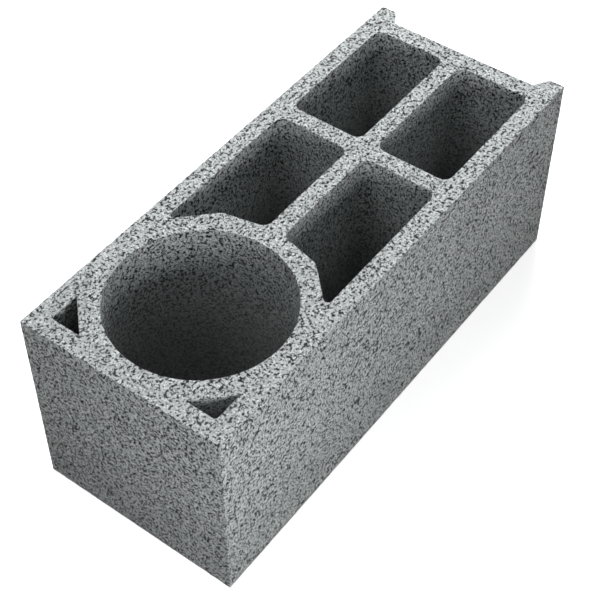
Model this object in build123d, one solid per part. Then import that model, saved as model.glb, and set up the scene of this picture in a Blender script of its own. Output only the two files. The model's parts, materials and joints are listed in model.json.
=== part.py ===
from build123d import *
import os
from math import cos, radians, sin, sqrt, tan

# A hollow concrete corner block, cast in one piece. A round hole for a cast-in post goes through
# it at one end. Four cells and two small corner cells are moulded from the top and stop short of
# the bed. At the other end two ears stand out and hold the mortar of the joint between them.
#
# The origin is the middle of the bed. +X runs along the block towards the ears, and +Z is up.
# All sizes are in millimetres, and the plan is the same on both sides of the XZ plane.

# Overall size
length = 500.0
width = 200.0
height = 200.0

# Walls and webs, measured at the top
side_wall = 17.5
post_end_wall = 17.0
ear_end_wall = 18.0
middle_web = 17.0
cross_web = 17.0
end_cell_length = 136.5

# Hole for the post, and the concrete round it
post_hole_radius = 79.0
post_hole_inset = 100.0
collar_wall = 17.3
corner_wall = 17.3

# The collar's two flats, as the angles of their normals from the length of the block
steep_flat_angle = 13.0
slanted_flat_angle = 45.0

# Ears and the recess between them
recess_depth = 15.0
ear_tip_width = 15.2
ear_root_width = 24.5
ear_round = 2.0

# Cores that leave the cells
bed_thickness = 20.0
core_draft = 0.4
core_nose_round = 5.0
cell_round = 9.0
collar_knee_round = 10.0
cell_tip_round = 3.5
corner_cell_round = 3.0

# Places that follow from the sizes above
post_x = post_hole_inset - length / 2
collar_reach = post_hole_radius + collar_wall
corner_reach = post_hole_radius + corner_wall
side_y = width / 2 - side_wall
web_y = middle_web / 2
recess_x = length / 2 - recess_depth
end_cell_x1 = recess_x - ear_end_wall
end_cell_x0 = end_cell_x1 - end_cell_length
post_cell_x1 = end_cell_x0 - cross_web
core_depth = height - bed_thickness
core_inset = core_depth * tan(radians(core_draft))


def outline(corners):
    """Closed outline from pairs of a corner and the radius that rounds it."""
    points, radii = zip(*corners)
    return make_face(FilletPolyline(*points, radius=radii, close=True))


def flat_crossing(angle, y):
    """Point of the collar's flat with its normal at this angle, on the line at this y."""
    normal = radians(angle)
    return (post_x + (collar_reach - y * sin(normal)) / cos(normal), y)


def flats_meeting():
    """Point where the collar's two flats meet."""
    half_turn = radians(slanted_flat_angle - steep_flat_angle) / 2
    heading = radians(slanted_flat_angle + steep_flat_angle) / 2
    reach = collar_reach / cos(half_turn)
    return (post_x + reach * cos(heading), reach * sin(heading))


def body():
    """The block's plan with its ears, at full height and without holes."""
    ear_tip_y = width / 2 - ear_tip_width
    ear_root_y = width / 2 - ear_root_width
    half = [
        ((recess_x, ear_root_y), ear_round),
        ((length / 2, ear_tip_y), ear_round),
        ((length / 2, width / 2), 0),
        ((-length / 2, width / 2), 0),
    ]
    other_half = [((x, -y), radius) for (x, y), radius in reversed(half)]
    return extrude(outline(half + other_half), height)


def core(face, smallest_round):
    """Core with this outline at the top, drafted to its nose, at +Y and mirrored at -Y."""
    tapered = extrude(face, core_depth, taper=core_draft)
    nose_round = min(core_nose_round, 0.8 * (smallest_round - core_inset))
    rounded = fillet(tapered.edges().group_by(Axis.Z)[-1], nose_round)
    hanging = Pos(0, 0, height) * mirror(rounded, about=Plane.XY)
    return [hanging, mirror(hanging, about=Plane.XZ)]


def end_cells():
    """Cores of the two plain cells beside the ears."""
    corners = [
        (end_cell_x0, web_y),
        (end_cell_x1, web_y),
        (end_cell_x1, side_y),
        (end_cell_x0, side_y),
    ]
    return core(outline([(corner, cell_round) for corner in corners]), cell_round)


def post_cells():
    """Cores of the two cells beside the post hole, which the collar's flats cut into."""
    corners = [
        (flat_crossing(steep_flat_angle, web_y), cell_round),
        ((post_cell_x1, web_y), cell_round),
        ((post_cell_x1, side_y), cell_round),
        (flat_crossing(slanted_flat_angle, side_y), cell_tip_round),
        (flats_meeting(), collar_knee_round),
    ]
    return core(outline(corners), cell_tip_round)


def corner_cells():
    """Cores of the two three-sided cells in the corners beside the post hole."""
    corner_x = post_end_wall - length / 2
    corner_to_wall = (post_x - corner_x + side_y) / sqrt(2) - corner_reach
    leg = corner_to_wall * sqrt(2)
    rounding = min(corner_cell_round, leg / 4)
    corners = [
        ((corner_x, side_y), rounding),
        ((corner_x, side_y - leg), 0),
        ((corner_x + leg, side_y), 0),
    ]
    return core(outline(corners), rounding)


def post_hole():
    """The round hole through the whole height."""
    return Pos(post_x, 0, height / 2) * Cylinder(post_hole_radius, height)


block = body() - post_hole() - end_cells() - post_cells() - corner_cells()
export_step(block, "parts/block.step")
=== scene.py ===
"""Hollow concrete corner block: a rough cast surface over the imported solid, on a pale studio floor."""

import json
import logging
from dataclasses import dataclass, field
from enum import Enum

import bmesh
import bpy
from mathutils import Euler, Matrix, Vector

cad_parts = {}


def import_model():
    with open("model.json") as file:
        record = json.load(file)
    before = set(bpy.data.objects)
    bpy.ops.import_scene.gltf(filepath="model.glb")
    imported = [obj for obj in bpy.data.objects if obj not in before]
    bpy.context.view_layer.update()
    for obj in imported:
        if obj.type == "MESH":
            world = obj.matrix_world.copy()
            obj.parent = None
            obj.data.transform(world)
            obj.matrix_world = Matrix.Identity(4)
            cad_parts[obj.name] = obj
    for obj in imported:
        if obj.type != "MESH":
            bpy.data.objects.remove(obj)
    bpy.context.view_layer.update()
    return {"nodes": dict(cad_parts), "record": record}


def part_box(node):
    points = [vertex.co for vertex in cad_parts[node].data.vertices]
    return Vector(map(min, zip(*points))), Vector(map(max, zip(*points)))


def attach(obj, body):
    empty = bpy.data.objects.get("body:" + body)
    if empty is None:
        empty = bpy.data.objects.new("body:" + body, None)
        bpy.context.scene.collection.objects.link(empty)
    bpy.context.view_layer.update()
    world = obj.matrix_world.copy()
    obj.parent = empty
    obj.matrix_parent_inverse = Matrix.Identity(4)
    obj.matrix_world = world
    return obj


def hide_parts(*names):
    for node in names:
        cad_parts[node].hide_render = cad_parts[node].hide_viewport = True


LOG = logging.getLogger("corner_block")
MM = 0.001
NOISE_MIDDLE = (0.5, 0.5, 0.5)
NOISE_ROUGHNESS = 0.55
NOISE_DETAIL = 2.0
FINE_DETAIL = 3.0

Socket = bpy.types.NodeSocket
Colour = tuple[float, float, float]
Place = tuple[float, float, float]
Span = tuple[float, float]


class Face(Enum):
    """The way a face of the block was shaped, which sets how coarse its grains and seams are."""

    STRUCK = "struck"
    MOULDED = "moulded"


def face_values(struck: float, moulded: float) -> dict[Face, float]:
    """Dataclass field with one value for each way of shaping a face."""
    return field(default_factory=lambda: {Face.STRUCK: struck, Face.MOULDED: moulded})


@dataclass(frozen=True)
class PoreSize:
    """One size of open pore in the concrete, in metres.

    The same pores sink the mesh and are given painted shade in the finish, so the two agree. A share of
    the places has a pore, and the smallest one and the flat bottom are shares of the radius.
    """

    spacing: float
    radius: float
    share: float
    raggedness: float
    ragged_detail: float = 1.5
    smallest: float = 0.15
    least_reach: float = 0.001
    flat_bottom: float = 0.55


LARGE_PORES = PoreSize(spacing=5.2 * MM, radius=1.9 * MM, share=0.62, raggedness=2.4 * MM)


@dataclass(frozen=True)
class ConcreteFinish:
    """Colours, sizes in metres and strengths of the cast concrete.

    A field that ends in level holds the two ends of a smooth step, on noise or on the grains' tone.
    """

    name: str = "cast_concrete"
    paste: Colour = (0.515, 0.545, 0.545)
    pale_grain: Colour = (0.80, 0.835, 0.83)
    dark_grain: Colour = (0.17, 0.185, 0.185)
    # The near-black colour of the open pores, flecks and seams is painted shade inside the holes.
    pore_shade: Colour = (0.014, 0.016, 0.016)
    # Painted shade: the darker tone deep in the cells, the post hole and the narrow corner cells, and
    # towards the bed.
    painted_shade: Colour = (0.20, 0.215, 0.21)

    grain_size: float = 1.5 * MM
    grain_weight: float = 0.30
    speck_size: dict[Face, float] = face_values(1.4 * MM, 1.5 * MM)
    speck_weight: float = 0.90
    dark_level: Span = (0.31, 0.47)
    pale_level: Span = (0.59, 0.76)

    pore_widening: dict[Face, float] = face_values(0.0, -0.10)
    # Share of painted shade in the openings.
    pore_shade_strength: float = 0.98
    cored_pore_loss: float = 0.45
    fleck_size: dict[Face, float] = face_values(2.8 * MM, 2.9 * MM)
    fleck_level: Span = (0.576, 0.598)
    struck_fleck_drop: float = 0.010

    seam_spacing: float = 2.35 * MM
    seam_width: dict[Face, float] = face_values(0.792 * MM, 1.023 * MM)
    seam_scale: dict[Face, float] = face_values(1.0, 1.15)
    seam_bend: float = 0.5
    seam_level: Span = (0.53, 0.63)
    seam_core: float = 0.70
    least_seam: float = 0.01

    stain_size: float = 45.0 * MM
    stain_strength: float = 0.045
    # Painted shade deep in the cells and corner cells, and towards the bed below the given height.
    painted_shade_strength: float = 0.70
    low_painted_shade_height: float = 130.0 * MM
    low_painted_shade_strength: float = 0.28

    roughness: Span = (0.86, 0.97)
    roughness_level: Span = (0.3, 0.8)
    specular: float = 0.25
    grain_rise: float = 0.6
    bump_height: float = 0.45 * MM
    bump_strength: float = 0.8


class NodeCanvas:
    """Adds and links nodes in one node tree, shader or geometry alike."""

    def __init__(self, tree: bpy.types.NodeTree) -> None:
        """Keeps the tree that the nodes go into.

        Args:
            tree: the shader or geometry node tree.
        """
        self.tree = tree

    def add(self, kind: str, inputs: dict | None = None, **settings) -> bpy.types.Node:
        """Adds a node, sets its properties and links or sets its inputs.

        Args:
            kind: the node's type name.
            inputs: values or output sockets, by input name or index.
            **settings: properties of the node.

        Returns:
            The new node.
        """
        node = self.tree.nodes.new(kind)
        for name, value in settings.items():
            setattr(node, name, value)
        for key, value in (inputs or {}).items():
            if isinstance(value, Socket):
                self.tree.links.new(value, node.inputs[key])
            else:
                node.inputs[key].default_value = value
        return node

    def math(self, operation: str, *terms: Socket | float) -> Socket:
        """Value that a Math node gives from values or sockets, in order."""
        return self.add("ShaderNodeMath", dict(enumerate(terms)), operation=operation).outputs[0]

    def vector(self, operation: str, *terms: Socket | Place | float) -> Socket:
        """Vector that a Vector Math node gives.

        Args:
            operation: the node's operation.
            *terms: its inputs in order, with a scale given last.

        Returns:
            The node's vector socket.
        """
        inputs = dict(enumerate(terms))
        if operation == "SCALE":
            inputs["Scale"] = inputs.pop(1)
        return self.add("ShaderNodeVectorMath", inputs, operation=operation).outputs[0]

    def distance(self, place: Socket, other: Place) -> Socket:
        """Distance of a position from a fixed place."""
        inputs = {0: place, 1: other}
        return self.add("ShaderNodeVectorMath", inputs, operation="DISTANCE").outputs["Value"]

    def parts(self, vector: Socket) -> bpy.types.bpy_prop_collection:
        """The three sockets of a vector or colour, by index or as X, Y and Z."""
        return self.add("ShaderNodeSeparateXYZ", {0: vector}).outputs

    def ramp(self, value: Socket, span: Span, low: float = 0.0, high: float = 1.0) -> Socket:
        """Smooth step of a value.

        Args:
            value: the socket to map.
            span: the values where the step starts and ends.
            low: result at the step's start.
            high: result at the step's end.

        Returns:
            The result's socket.
        """
        start, end = span
        inputs = {"Value": value, "From Min": start, "From Max": end, "To Min": low, "To Max": high}
        node = self.add("ShaderNodeMapRange", inputs, interpolation_type="SMOOTHSTEP")
        return node.outputs["Result"]

    def mix(self, factor: Socket, first: Socket | Colour, second: Socket | Colour) -> Socket:
        """Mix of two colours.

        Args:
            factor: socket with the share of the second colour.
            first: the first colour or its socket.
            second: the second colour or its socket.

        Returns:
            The mixed colour's socket.
        """
        inputs = {0: factor}
        for index, colour in ((6, first), (7, second)):
            inputs[index] = colour if isinstance(colour, Socket) else (*colour, 1.0)
        return self.add("ShaderNodeMix", inputs, data_type="RGBA").outputs[2]

    def mix_shader(self, factor: Socket, first: bpy.types.Node, second: bpy.types.Node) -> Socket:
        """Mix of two shader nodes, where the factor is the share of the second."""
        inputs = {0: factor, 1: first.outputs[0], 2: second.outputs[0]}
        return self.add("ShaderNodeMixShader", inputs).outputs[0]

    def noise(self, place: Socket, size: float, detail: float = NOISE_DETAIL) -> bpy.types.Node:
        """Noise of a given feature size.

        Args:
            place: socket with the position in metres.
            size: feature size in metres.
            detail: octaves.

        Returns:
            The Noise Texture node.
        """
        inputs = {"Vector": place, "Scale": 1.0 / size, "Detail": detail, "Roughness": NOISE_ROUGHNESS}
        return self.add("ShaderNodeTexNoise", inputs)

    def bend(self, place: Socket, size: float, detail: float = NOISE_DETAIL) -> Socket:
        """Position pushed about by noise, so that a pattern laid on it is less regular.

        Args:
            place: socket with the position in metres.
            size: feature size of the noise and reach of the push, in metres.
            detail: octaves.

        Returns:
            Socket with the new position.
        """
        push = self.noise(place, size, detail).outputs["Color"]
        push = self.vector("SUBTRACT", push, NOISE_MIDDLE)
        return self.vector("ADD", place, self.vector("SCALE", push, size))

    def by_face(self, struck: Socket, values: dict[Face, float]) -> Socket:
        """Value of the struck face or of the moulded ones.

        Args:
            struck: socket that is 1 on the struck face and 0 on the moulded ones.
            values: a value for each way of shaping a face.

        Returns:
            Socket with the value.
        """
        step = values[Face.STRUCK] - values[Face.MOULDED]
        return self.math("MULTIPLY_ADD", struck, step, values[Face.MOULDED])


def blank_canvas(holder: bpy.types.Material | bpy.types.World) -> NodeCanvas:
    """Canvas on the emptied node tree of a material or world.

    Args:
        holder: what the nodes belong to.

    Returns:
        The canvas.
    """
    holder.use_nodes = True
    holder.node_tree.nodes.clear()
    return NodeCanvas(holder.node_tree)


def linked_object(name: str, data: bpy.types.ID) -> bpy.types.Object:
    """New object in the scene.

    Args:
        name: the object's name.
        data: its mesh, light or camera.

    Returns:
        The object.
    """
    made = bpy.data.objects.new(name, data)
    bpy.context.scene.collection.objects.link(made)
    return made


def pore_depth(canvas: NodeCanvas, place: Socket, pores: PoreSize, widening: Socket | float) -> Socket:
    """Depth of the open pores, from 0 on the face to 1 at a pore's bottom.

    Args:
        canvas: where the nodes go.
        place: socket with the position in metres.
        pores: the size of pore.
        widening: share by which every pore is wider than its size says.

    Returns:
        Socket with the depth.
    """
    bent = canvas.bend(place, pores.raggedness, pores.ragged_detail)
    nearest = canvas.add("ShaderNodeTexVoronoi", {"Vector": bent, "Scale": 1.0 / pores.spacing})
    chance = canvas.parts(nearest.outputs["Color"])[0]
    closed = 1.0 - pores.share
    reach = pores.radius / pores.spacing
    radius = canvas.ramp(chance, (closed, 1.0), pores.smallest * reach, reach)
    radius = canvas.math("MULTIPLY", radius, canvas.math("GREATER_THAN", chance, closed))
    radius = canvas.math("MULTIPLY", radius, canvas.math("ADD", widening, 1.0))
    radius = canvas.math("MAXIMUM", radius, pores.least_reach)
    share = canvas.math("DIVIDE", nearest.outputs["Distance"], radius)
    return canvas.ramp(share, (pores.flat_bottom, 1.0), 1.0, 0.0)


@dataclass
class CastSurface:
    """The block's surface as cast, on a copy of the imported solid: chipped arrises and open pits.

    Lengths are in metres and angles in radians. A field that ends in heights holds two shares of the
    block's height, and one that ends in level holds the two ends of a smooth step on noise.
    """

    node: bpy.types.Object
    slot: str
    name: str = "cast_block"
    finish: ConcreteFinish = field(default_factory=ConcreteFinish)

    merge_distance: float = 0.01 * MM
    sharp_angle: float = 0.6
    octree_depth: int = 9
    most_triangles: int = 192_000

    struck_slope: Span = (0.6, 0.9)
    pit_depth: float = 0.8 * MM
    moulded_pit_share: float = 0.75
    grain_size: float = 3.0 * MM
    grain_depth: float = 0.10 * MM
    arris_clearance: float = 2.0 * MM
    arris_pit_share: float = 0.15
    chip_size: float = 3.5 * MM
    chip_level: Span = (0.42, 0.70)
    chip_width: float = 1.3 * MM
    chip_depth: float = 0.25 * MM

    skin: float = 4.0 * MM
    recess: float = 17.0 * MM
    skin_blend: float = 2.0 * MM
    bed_blend: Span = (0.5 * MM, 3.0 * MM)
    deep_heights: Span = (0.93, 0.30)
    narrow_heights: Span = (1.0, 0.86)
    narrow_rim_share: float = 0.15
    post_x: float = -150.0 * MM
    collar_outside: float = 90.0 * MM
    corner_cells_end: float = -180.0 * MM

    def merged_copy(self) -> bmesh.types.BMesh:
        """Copy of the solid's mesh with its loose triangles joined.

        Returns:
            The joined mesh, which the caller frees.
        """
        copy = bmesh.new()
        copy.from_mesh(self.node.data)
        bmesh.ops.remove_doubles(copy, verts=copy.verts, dist=self.merge_distance)
        return copy

    def joined_solid(self) -> bpy.types.Object:
        """The solid's joined mesh as an object.

        Returns:
            The object, linked to the scene.
        """
        joined = self.merged_copy()
        mesh = bpy.data.meshes.new("joined_solid")
        joined.to_mesh(mesh)
        joined.free()
        return linked_object("rough_block", mesh)

    def arris_wires(self) -> bpy.types.Object:
        """The solid's sharp edges alone, as an object of loose edges.

        Returns:
            The object, linked to the scene.
        """
        wires = self.merged_copy()
        flat = [
            edge
            for edge in wires.edges
            if len(edge.link_faces) == 2 and edge.calc_face_angle(0.0) < self.sharp_angle
        ]
        bmesh.ops.delete(wires, geom=wires.faces, context="FACES_ONLY")
        bmesh.ops.delete(wires, geom=flat, context="EDGES")
        mesh = bpy.data.meshes.new("arris_wires")
        wires.to_mesh(mesh)
        wires.free()
        return linked_object("arris_wires", mesh)

    def relief(self, wires: bpy.types.Object) -> bpy.types.NodeTree:
        """Geometry nodes that sink pits into the faces and chip the arrises.

        Args:
            wires: the object that holds the sharp edges.

        Returns:
            The node tree.
        """
        tree = bpy.data.node_groups.new("cast_relief", "GeometryNodeTree")
        for direction in ("INPUT", "OUTPUT"):
            tree.interface.new_socket("Geometry", in_out=direction, socket_type="NodeSocketGeometry")
        canvas = NodeCanvas(tree)
        source = canvas.add("NodeGroupInput").outputs[0]
        place = canvas.add("GeometryNodeInputPosition").outputs[0]
        normal = canvas.add("GeometryNodeInputNormal").outputs[0]
        edges = canvas.add("GeometryNodeObjectInfo", {"Object": wires}).outputs["Geometry"]
        nearest = canvas.add("GeometryNodeProximity", {0: edges}, target_element="EDGES")
        near = nearest.outputs["Distance"]

        slope = canvas.parts(normal)["Z"]
        openness = canvas.ramp(slope, self.struck_slope, self.moulded_pit_share, 1.0)
        pits = canvas.math("MULTIPLY", pore_depth(canvas, place, LARGE_PORES, 0.0), openness)
        grain = canvas.noise(place, self.grain_size).outputs[0]
        clear = canvas.ramp(near, (0.0, self.arris_clearance), self.arris_pit_share, 1.0)
        sunk = canvas.math("MULTIPLY", pits, self.pit_depth)
        sunk = canvas.math("MULTIPLY_ADD", grain, self.grain_depth, sunk)
        sunk = canvas.math("MULTIPLY", sunk, clear)

        at_arris = canvas.ramp(near, (0.0, self.chip_width), 1.0, 0.0)
        chips = canvas.noise(place, self.chip_size, FINE_DETAIL).outputs[0]
        chips = canvas.ramp(chips, self.chip_level)
        chips = canvas.math("MULTIPLY", at_arris, canvas.math("MULTIPLY", chips, self.chip_depth))

        down = canvas.math("MULTIPLY", canvas.math("ADD", sunk, chips), -1.0)
        offset = canvas.vector("SCALE", normal, down)
        moved = canvas.add("GeometryNodeSetPosition", {"Geometry": source, "Offset": offset})
        canvas.add("NodeGroupOutput", {0: moved.outputs[0]})
        return tree

    def mesh(self) -> bpy.types.Mesh:
        """The finished surface: evenly remeshed, sunk and chipped, then thinned to its limit.

        Returns:
            The mesh, in the row's frame.
        """
        rough = self.joined_solid()
        wires = self.arris_wires()
        even = rough.modifiers.new("even", "REMESH")
        even.mode = "SHARP"
        even.octree_depth = self.octree_depth
        even.use_remove_disconnected = False
        rough.modifiers.new("relief", "NODES").node_group = self.relief(wires)
        count = self.evaluated_triangles(rough)
        thin = rough.modifiers.new("thin", "DECIMATE")
        thin.ratio = min(1.0, self.most_triangles / count)
        LOG.info("relief has %d triangles, kept at most %d", count, self.most_triangles)
        graph = bpy.context.evaluated_depsgraph_get()
        made = bpy.data.meshes.new_from_object(rough.evaluated_get(graph))
        for spent in (rough, wires):
            bpy.data.objects.remove(spent)
        return made

    def evaluated_triangles(self, piece: bpy.types.Object) -> int:
        """Number of triangles that a piece has with its modifiers.

        Args:
            piece: the piece to count.

        Returns:
            The number of triangles.
        """
        shown = piece.evaluated_get(bpy.context.evaluated_depsgraph_get())
        mesh = shown.to_mesh()
        mesh.calc_loop_triangles()
        count = len(mesh.loop_triangles)
        shown.to_mesh_clear()
        return count

    def noise_by_face(
        self, canvas: NodeCanvas, place: Socket, sizes: dict[Face, float], struck: Socket
    ) -> Socket:
        """Noise with one feature size on the struck face and another on the moulded ones.

        Args:
            canvas: where the nodes go.
            place: socket with the position in metres.
            sizes: feature size for each way of shaping a face.
            struck: socket that is 1 on the struck face and 0 on the moulded ones.

        Returns:
            Socket with the noise.
        """
        top = canvas.noise(place, sizes[Face.STRUCK], FINE_DETAIL).outputs[0]
        wall = canvas.noise(place, sizes[Face.MOULDED], FINE_DETAIL).outputs[0]
        return canvas.math("MULTIPLY_ADD", canvas.math("SUBTRACT", top, wall), struck, wall)

    def core_face_and_shade(self, canvas: NodeCanvas, place: Socket) -> Socket:
        """Mask of the walls in the cells and the post hole, where the drawn core smooths the paste and
        painted shade darkens them deep down, and of the narrow corner cells, which painted shade darkens
        from the rim.

        Args:
            canvas: where the nodes go.
            place: socket with the position in metres.

        Returns:
            Socket that grows from 0 at the top of an inner wall to 1 deep inside.
        """
        axes = canvas.parts(place)
        low, high = (Vector(corner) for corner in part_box(self.node.name))
        from_side = canvas.math("SUBTRACT", high.y - self.skin, canvas.math("ABSOLUTE", axes["Y"]))
        from_end = canvas.math("SUBTRACT", axes["X"], low.x + self.skin)
        from_recess = canvas.math("SUBTRACT", high.x - self.recess, axes["X"])
        inside = canvas.math("MINIMUM", from_side, canvas.math("MINIMUM", from_end, from_recess))
        inner = canvas.ramp(inside, (0.0, self.skin_blend))

        deep_span, narrow_span = (
            tuple(high.z * share for share in heights)
            for heights in (self.deep_heights, self.narrow_heights)
        )
        # Painted shade grows with depth in the cells and post hole, and in the narrow corner cells from
        # just below the rim.
        deep = canvas.ramp(axes["Z"], deep_span)
        narrow = canvas.ramp(axes["Z"], narrow_span, self.narrow_rim_share, 1.0)
        narrow = canvas.math("MULTIPLY", narrow, self.corner_cells(canvas, place))
        deep = canvas.math("MAXIMUM", deep, narrow)
        above_bed = canvas.ramp(axes["Z"], self.bed_blend)
        return canvas.math("MULTIPLY", canvas.math("MULTIPLY", inner, deep), above_bed)

    def corner_cells(self, canvas: NodeCanvas, place: Socket) -> Socket:
        """Mask of the two narrow corner cells, which lie outside the collar at the post's end.

        Args:
            canvas: where the nodes go.
            place: socket with the position in metres.

        Returns:
            Socket that is 1 in the corner cells and 0 elsewhere.
        """
        level = canvas.vector("MULTIPLY", place, (1.0, 1.0, 0.0))
        from_post = canvas.distance(level, (self.post_x, 0.0, 0.0))
        outside = canvas.math("GREATER_THAN", from_post, self.collar_outside)
        at_end = canvas.math("LESS_THAN", canvas.parts(place)["X"], self.corner_cells_end)
        return canvas.math("MULTIPLY", outside, at_end)

    def grain_seams(self, canvas: NodeCanvas, place: Socket, struck: Socket) -> Socket:
        """Thin broken seams between the grains, wider in some places than in others.

        Args:
            canvas: where the nodes go.
            place: socket with the position in metres.
            struck: socket that is 1 on the struck face and 0 on the moulded ones.

        Returns:
            Socket with the seam, from 0 to 1.
        """
        look = self.finish
        place = canvas.vector("SCALE", place, canvas.by_face(struck, look.seam_scale))
        bent = canvas.bend(place, look.seam_spacing * look.seam_bend)
        inputs = {"Vector": bent, "Scale": 1.0 / look.seam_spacing}
        cells = canvas.add("ShaderNodeTexVoronoi", inputs, feature="DISTANCE_TO_EDGE")
        reach = {face: width / look.seam_spacing for face, width in look.seam_width.items()}
        spread = canvas.ramp(canvas.noise(place, look.seam_spacing).outputs[0], look.seam_level)
        width = canvas.math("MULTIPLY", spread, canvas.by_face(struck, reach))
        width = canvas.math("MAXIMUM", width, look.least_seam)
        share = canvas.math("DIVIDE", cells.outputs["Distance"], width)
        return canvas.ramp(share, (look.seam_core, 1.0), 1.0, 0.0)

    def openings(self, canvas: NodeCanvas, place: Socket, struck: Socket) -> Socket:
        """Large pores, small flecks and seams together.

        Args:
            canvas: where the nodes go.
            place: socket with the position in metres.
            struck: socket that is 1 on the struck face and 0 on the moulded ones.

        Returns:
            Socket that grows from 0 on sound paste to 1 in an opening.
        """
        look = self.finish
        large = pore_depth(canvas, place, LARGE_PORES, canvas.by_face(struck, look.pore_widening))
        fleck = self.noise_by_face(canvas, place, look.fleck_size, struck)
        fleck = canvas.math("MULTIPLY_ADD", struck, -look.struck_fleck_drop, fleck)
        small = canvas.ramp(fleck, look.fleck_level)
        seams = self.grain_seams(canvas, place, struck)
        return canvas.math("MAXIMUM", large, canvas.math("MAXIMUM", small, seams))

    def grain_tone(self, canvas: NodeCanvas, place: Socket, struck: Socket) -> Socket:
        """Tone of the grains, from dark to pale.

        Args:
            canvas: where the nodes go.
            place: socket with the position in metres.
            struck: socket that is 1 on the struck face and 0 on the moulded ones.

        Returns:
            Socket with the tone, about 0 to 1.
        """
        look = self.finish
        grains = canvas.add("ShaderNodeTexVoronoi", {"Vector": place, "Scale": 1.0 / look.grain_size})
        shade = canvas.parts(grains.outputs["Color"])[1]
        speck = self.noise_by_face(canvas, place, look.speck_size, struck)
        speck = canvas.math("MULTIPLY", speck, look.speck_weight)
        return canvas.math("MULTIPLY_ADD", shade, look.grain_weight, speck)

    def material(self) -> bpy.types.Material:
        """The concrete, with its grains, openings in painted shade, faint stains, and painted shade deep
        in the cells and towards the bed.

        Returns:
            The material.
        """
        look = self.finish
        made = bpy.data.materials.new(look.name)
        canvas = blank_canvas(made)
        place = canvas.add("ShaderNodeTexCoord").outputs["Object"]
        slope = canvas.parts(canvas.add("ShaderNodeNewGeometry").outputs["Normal"])["Z"]
        struck = canvas.ramp(slope, self.struck_slope)
        openings = self.openings(canvas, place, struck)
        grains = self.grain_tone(canvas, place, struck)
        cored_and_shaded = self.core_face_and_shade(canvas, place)

        tone = canvas.mix(canvas.ramp(grains, look.dark_level), look.dark_grain, look.paste)
        tone = canvas.mix(canvas.ramp(grains, look.pale_level), tone, look.pale_grain)
        stain = canvas.noise(place, look.stain_size).outputs[0]
        swing = 2.0 * look.stain_strength
        stain = canvas.math("MULTIPLY_ADD", stain, swing, 1.0 - look.stain_strength)
        tone = canvas.vector("SCALE", tone, stain)

        # Painted shade: darker towards the bed, and deep in the cells, the post hole and the narrow
        # corner cells.
        height = canvas.parts(place)["Z"]
        low = canvas.ramp(height, (look.low_painted_shade_height, 0.0), 0.0, look.low_painted_shade_strength)
        painted_shade = canvas.math("MAXIMUM", low, canvas.math("MULTIPLY", cored_and_shaded, look.painted_shade_strength))
        tone = canvas.mix(painted_shade, tone, look.painted_shade)
        # Near-black painted shade in the open pores, flecks and seams, fainter deep in the cells.
        kept = canvas.math("MULTIPLY_ADD", cored_and_shaded, -look.cored_pore_loss, 1.0)
        darkness = canvas.math("MULTIPLY", openings, look.pore_shade_strength)
        darkness = canvas.math("MULTIPLY", darkness, kept)
        colour = canvas.mix(darkness, tone, look.pore_shade)

        rise = canvas.math("MULTIPLY", grains, look.grain_rise)
        raised = canvas.math("MULTIPLY_ADD", openings, -1.0, rise)
        bump = canvas.add(
            "ShaderNodeBump",
            {"Height": raised, "Strength": look.bump_strength, "Distance": look.bump_height},
        )
        shader = canvas.add(
            "ShaderNodeBsdfPrincipled",
            {
                "Base Color": colour,
                "Roughness": canvas.ramp(grains, look.roughness_level, *look.roughness),
                "Normal": bump.outputs[0],
                "Specular IOR Level": look.specular,
            },
        )
        canvas.add("ShaderNodeOutputMaterial", {"Surface": shader.outputs[0]})
        return made

    def build(self) -> bpy.types.Object:
        """Makes the piece and puts it in the solid's place.

        Returns:
            The piece.
        """
        made = self.mesh()
        made.name = self.name
        made.materials.clear()
        made.materials.append(self.material())
        for polygon in made.polygons:
            polygon.use_smooth = True
        made.set_sharp_from_angle(angle=self.sharp_angle)
        piece = linked_object(self.name, made)
        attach(piece, "root")
        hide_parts(self.node.name)
        LOG.info("%s: %d faces", self.name, len(made.polygons))
        return piece


def grey(level: float) -> tuple[float, float, float, float]:
    """Opaque grey of a level, where 1 is white."""
    return (level, level, level, 1.0)


def turn_along(direction: Vector) -> Euler:
    """Turn that points an object's -Z axis along a direction, with +Y up."""
    return direction.to_track_quat("-Z", "Y").to_euler()


@dataclass(frozen=True)
class Softbox:
    """A square studio lamp, in metres and watts."""

    name: str
    place: Place
    target: Place
    side: float
    power: float

    def build(self) -> bpy.types.Object:
        """Adds the lamp, turned to its target.

        Returns:
            The lamp.
        """
        light = bpy.data.lights.new(self.name, "AREA")
        light.size = self.side
        light.energy = self.power
        lamp = linked_object(self.name, light)
        lamp.location = self.place
        lamp.rotation_euler = turn_along(Vector(self.target) - Vector(self.place))
        return lamp


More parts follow.
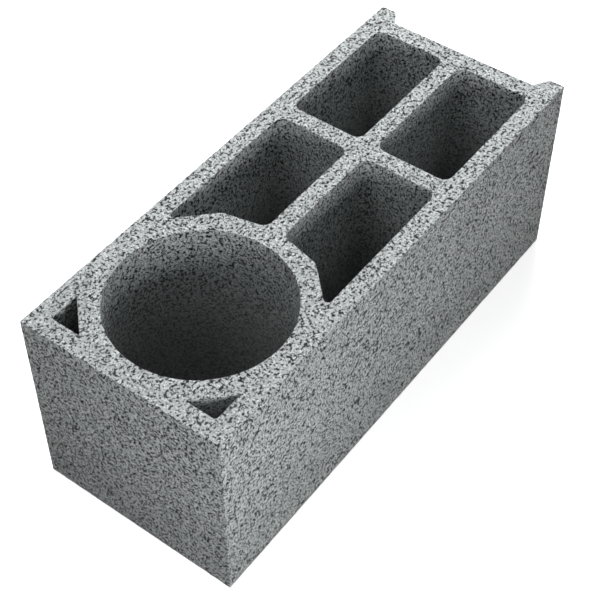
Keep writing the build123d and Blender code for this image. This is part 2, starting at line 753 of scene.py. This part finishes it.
@dataclass(frozen=True)
class Studio:
    """Camera, floor, daylight and lamps round the block, in metres unless the name says mm."""

    camera_place: Place = (-0.69952, -0.50677, 1.04165)
    camera_look: Place = (0.53176, 0.39581, -0.74871)
    lens_mm: float = 85.41
    sensor_mm: float = 36.0
    floor_radius: float = 30.0
    floor_sides: int = 64
    floor_seen: float = 0.80
    floor_glow: float = 0.72
    floor_fade: Span = (0.6, 1.6)
    floor_bounce: float = 0.07
    dome: float = 0.04
    lamps: tuple[Softbox, ...] = (
        Softbox("top_softbox", (0.8, 0.6, 1.5), (0.0, 0.0, 0.2), 1.0, 33.0),
        Softbox("high_end_softbox", (-0.7, 0.3, 1.2), (0.0, 0.0, 0.2), 0.6, 2.3),
        Softbox("long_side_softbox", (-0.4, -1.2, 0.3), (-0.2, -0.1, 0.1), 0.6, 6.6),
        Softbox("corner_softbox", (-0.6, -0.6, 0.25), (-0.2, -0.1, 0.1), 0.3, 1.95),
        Softbox("end_softbox", (-0.8, -0.3, 0.3), (-0.25, 0.0, 0.15), 0.3, 0.5),
    )

    def camera(self) -> None:
        """Adds the camera of the view."""
        data = bpy.data.cameras.new("camera")
        data.lens = self.lens_mm
        data.sensor_width = self.sensor_mm
        made = linked_object("camera", data)
        made.location = self.camera_place
        made.rotation_euler = turn_along(Vector(self.camera_look))
        bpy.context.scene.camera = made

    def seen_directly(self, canvas: NodeCanvas) -> Socket:
        """Mask of the rays that show a thing: from the camera, a gloss or a clear body.

        Args:
            canvas: where the nodes go.

        Returns:
            Socket that is 1 for such rays and 0 for the light that they leave out.
        """
        path = canvas.add("ShaderNodeLightPath").outputs
        shown = canvas.math("MAXIMUM", path["Is Camera Ray"], path["Is Glossy Ray"])
        return canvas.math("MAXIMUM", shown, path["Is Transmission Ray"])

    def floor_material(self) -> bpy.types.Material:
        """Floor that looks nearly white and yet throws little light back.

        Returns:
            The material.
        """
        made = bpy.data.materials.new("studio_floor")
        canvas = blank_canvas(made)
        dull = canvas.add("ShaderNodeBsdfDiffuse", {"Color": grey(self.floor_bounce)})
        pale = canvas.add("ShaderNodeBsdfDiffuse", {"Color": grey(self.floor_seen)})
        place = canvas.add("ShaderNodeTexCoord").outputs["Object"]
        away = canvas.distance(place, (0.0, 0.0, 0.0))
        strength = canvas.ramp(away, self.floor_fade, self.floor_glow, 1.0)
        glow = canvas.add("ShaderNodeEmission", {"Color": grey(1.0), "Strength": strength})
        shown = canvas.add("ShaderNodeAddShader", {0: pale.outputs[0], 1: glow.outputs[0]})
        mixed = canvas.mix_shader(self.seen_directly(canvas), dull, shown)
        canvas.add("ShaderNodeOutputMaterial", {"Surface": mixed})
        return made

    def floor(self) -> None:
        """Adds the pale floor, which keeps the block's shadow."""
        disc = bmesh.new()
        bmesh.ops.create_circle(
            disc, cap_ends=True, segments=self.floor_sides, radius=self.floor_radius
        )
        mesh = bpy.data.meshes.new("studio_floor")
        disc.to_mesh(mesh)
        disc.free()
        mesh.materials.append(self.floor_material())
        floor = linked_object("studio_floor", mesh)

    def daylight(self) -> None:
        """Lights the world evenly, and shows it white."""
        world = bpy.data.worlds.new("studio")
        canvas = blank_canvas(world)
        light = canvas.add("ShaderNodeBackground", {"Color": grey(1.0), "Strength": self.dome})
        shown = canvas.add("ShaderNodeBackground", {"Color": grey(1.0), "Strength": 1.0})
        mixed = canvas.mix_shader(self.seen_directly(canvas), light, shown)
        canvas.add("ShaderNodeOutputWorld", {"Surface": mixed})
        bpy.context.scene.world = world

    def build(self) -> None:
        """Builds the whole studio."""
        self.camera()
        self.floor()
        self.daylight()
        for lamp in self.lamps:
            lamp.build()
        bpy.context.scene.view_settings.view_transform = "Standard"
        LOG.info("studio: %d lamps", len(self.lamps))


def main() -> None:
    """Builds the studio and the block."""
    logging.basicConfig(level=logging.INFO, format="%(name)s: %(message)s")
    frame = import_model()
    Studio().build()
    slot = frame["record"]["subparts"][0]["material_slot"]
    CastSurface(frame["nodes"]["block"], slot).build()


if __name__ == "__main__":
    main()
